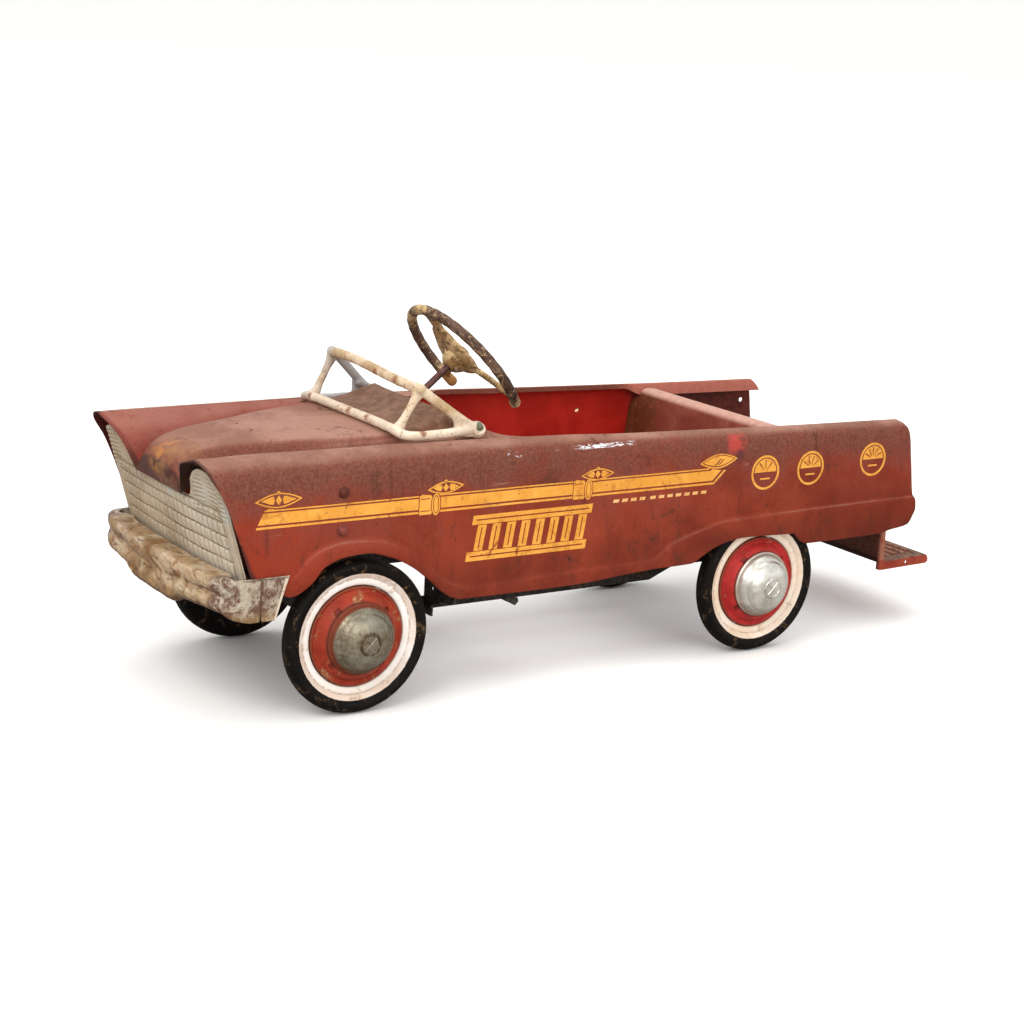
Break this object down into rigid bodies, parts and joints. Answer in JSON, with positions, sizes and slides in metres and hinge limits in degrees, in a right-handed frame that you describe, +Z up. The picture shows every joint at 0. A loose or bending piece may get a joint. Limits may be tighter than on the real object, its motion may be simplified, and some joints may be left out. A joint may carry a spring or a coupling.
{
  "type": "pedal car",
  "caption": "Child's pressed-steel pedal car in fire-engine style, with steered front wheels, cranked rear axle, hanging pedals and a rear step.",
  "frame": {"origin": "centre of the car's bounding box, on the ground the wheels stand on", "axes": "+Z up; the car faces -Y, so +Y points out past the rear step; +X is the car's left, the side seen in the picture"},
  "size_m": [0.408, 1.166, 0.4603],
  "materials": {
    "body_red": "faded red enamel, sun-bleached on top, scratched",
    "grille_silver": "worn silver paint with dirt in the grooves",
    "bumper_rust": "silver paint mostly gone to light rust",
    "cream_paint": "off-white paint with rust specks",
    "tyre_rubber": "black rubber, scuffed tan, with a painted white wall",
    "wheel_red": "red enamel worn at the lip",
    "dull_chrome": "dulled plating with rust pits",
    "dark_steel": "dark greasy steel",
    "pedal_rubber": "ribbed block rubber",
    "steering_plastic": "dark brown moulding worn to tan"
  },
  "bodies": {
    "chassis": {"side_panel_left": "body_red", "side_panel_right": "body_red", "hood": "body_red", "seat_back": "body_red", "seat_pan": "body_red", "dash_panel": "body_red", "step": "body_red", "fender_bolt_upper_left": "body_red", "fender_bolt_lower_left": "body_red", "fender_bolt_upper_right": "body_red", "fender_bolt_lower_right": "body_red", "grille": "grille_silver", "bumper": "bumper_rust", "windshield_frame": "cream_paint", "windshield_bolt_left": "dull_chrome", "windshield_bolt_right": "dull_chrome", "rear_bearing_left": "dull_chrome", "rear_bearing_right": "dull_chrome", "chassis_rail_left": "dark_steel", "chassis_rail_right": "dark_steel", "front_axle_beam": "dark_steel", "axle_post_left": "dark_steel", "axle_post_right": "dark_steel", "front_body_hanger": "dark_steel", "column_strut": "dark_steel", "pedal_shaft": "dark_steel", "rear_post_left": "dark_steel", "rear_post_right": "dark_steel", "sill_bracket_left": "dark_steel", "sill_bracket_right": "dark_steel", "rear_crossmember": "dark_steel"},
    "rear_drive": {"rear_axle": "dark_steel", "tyre_rear_left": "tyre_rubber", "wheel_disc_rear_left": "wheel_red", "hubcap_rear_left": "dull_chrome"},
    "rear_right_wheel": {"tyre_rear_right": "tyre_rubber", "wheel_disc_rear_right": "wheel_red", "hubcap_rear_right": "dull_chrome"},
    "front_left_wheel": {"tyre_front_left": "tyre_rubber", "wheel_disc_front_left": "wheel_red", "hubcap_front_left": "dull_chrome"},
    "front_right_wheel": {"tyre_front_right": "tyre_rubber", "wheel_disc_front_right": "wheel_red", "hubcap_front_right": "dull_chrome"},
    "left_spindle": {"spindle_left": "dark_steel"},
    "right_spindle": {"spindle_right": "dark_steel"},
    "steering": {"steering_wheel": "steering_plastic", "steering_column": "dark_steel", "steering_nut": "dull_chrome"},
    "tie_rod_link": {"tie_rod": "dark_steel"},
    "left_drive_rod": {"drive_rod_left": "dark_steel"},
    "right_drive_rod": {"drive_rod_right": "dark_steel"},
    "left_pedal_arm": {"pedal_arm_left": "dark_steel"},
    "right_pedal_arm": {"pedal_arm_right": "dark_steel"},
    "left_pedal": {"pedal_left": "pedal_rubber"},
    "right_pedal": {"pedal_right": "pedal_rubber"}
  },
  "joints": [
    {"name": "steering_turn", "type": "hinge", "parent": "chassis", "child": "steering", "pos_m": [0, -0.1535, 0.3931], "axis": [0, 0.7716, 0.6361], "range_deg": [-25, 25]},
    {"name": "tie_rod_shift", "type": "slide", "parent": "chassis", "child": "tie_rod_link", "axis": [1, 0, 0], "range_m": [-0.0154, 0.0154]},
    {"name": "left_kingpin", "type": "hinge", "parent": "chassis", "child": "left_spindle", "pos_m": [0.12, -0.38, 0.095], "axis": [0, 0, 1], "range_deg": [-21.2, 21.2]},
    {"name": "right_kingpin", "type": "hinge", "parent": "chassis", "child": "right_spindle", "pos_m": [-0.12, -0.38, 0.095], "axis": [0, 0, 1], "range_deg": [-21.2, 21.2]},
    {"name": "front_left_spin", "type": "hinge", "parent": "left_spindle", "child": "front_left_wheel", "pos_m": [0.176, -0.38, 0.095], "axis": [1, 0, 0], "continuous": true},
    {"name": "front_right_spin", "type": "hinge", "parent": "right_spindle", "child": "front_right_wheel", "pos_m": [-0.176, -0.38, 0.095], "axis": [1, 0, 0], "continuous": true},
    {"name": "rear_axle_spin", "type": "hinge", "parent": "chassis", "child": "rear_drive", "pos_m": [0, 0.232, 0.095], "axis": [1, 0, 0], "continuous": true},
    {"name": "rear_right_spin", "type": "hinge", "parent": "chassis", "child": "rear_right_wheel", "pos_m": [-0.1745, 0.232, 0.095], "axis": [1, 0, 0], "continuous": true},
    {"name": "left_crank_pin", "type": "hinge", "parent": "rear_drive", "child": "left_drive_rod", "pos_m": [0.046, 0.232, 0.123], "axis": [1, 0, 0], "continuous": true},
    {"name": "right_crank_pin", "type": "hinge", "parent": "rear_drive", "child": "right_drive_rod", "pos_m": [-0.046, 0.232, 0.067], "axis": [1, 0, 0], "continuous": true},
    {"name": "left_arm_swing", "type": "hinge", "parent": "chassis", "child": "left_pedal_arm", "pos_m": [0.052, -0.234, 0.27], "axis": [1, 0, 0], "range_deg": [-9.5, 9.5]},
    {"name": "right_arm_swing", "type": "hinge", "parent": "chassis", "child": "right_pedal_arm", "pos_m": [-0.052, -0.234, 0.27], "axis": [1, 0, 0], "range_deg": [-9.5, 9.5]},
    {"name": "left_pedal_swivel", "type": "hinge", "parent": "left_pedal_arm", "child": "left_pedal", "pos_m": [0.052, -0.119, 0.097], "axis": [1, 0, 0], "continuous": true},
    {"name": "right_pedal_swivel", "type": "hinge", "parent": "right_pedal_arm", "child": "right_pedal", "pos_m": [-0.052, -0.119, 0.097], "axis": [1, 0, 0], "continuous": true}
  ],
  "couplings": [
    {"joint": "tie_rod_shift", "follows": "steering_turn", "m_per_rad": -0.0344},
    {"joint": "left_kingpin", "follows": "steering_turn", "ratio": 0.828},
    {"joint": "right_kingpin", "follows": "steering_turn", "ratio": 0.828},
    {"joint": "left_crank_pin", "follows": "rear_axle_spin", "ratio": -1},
    {"joint": "right_crank_pin", "follows": "rear_axle_spin", "ratio": -1},
    {"joint": "right_arm_swing", "follows": "left_arm_swing", "ratio": -1}
  ]
}
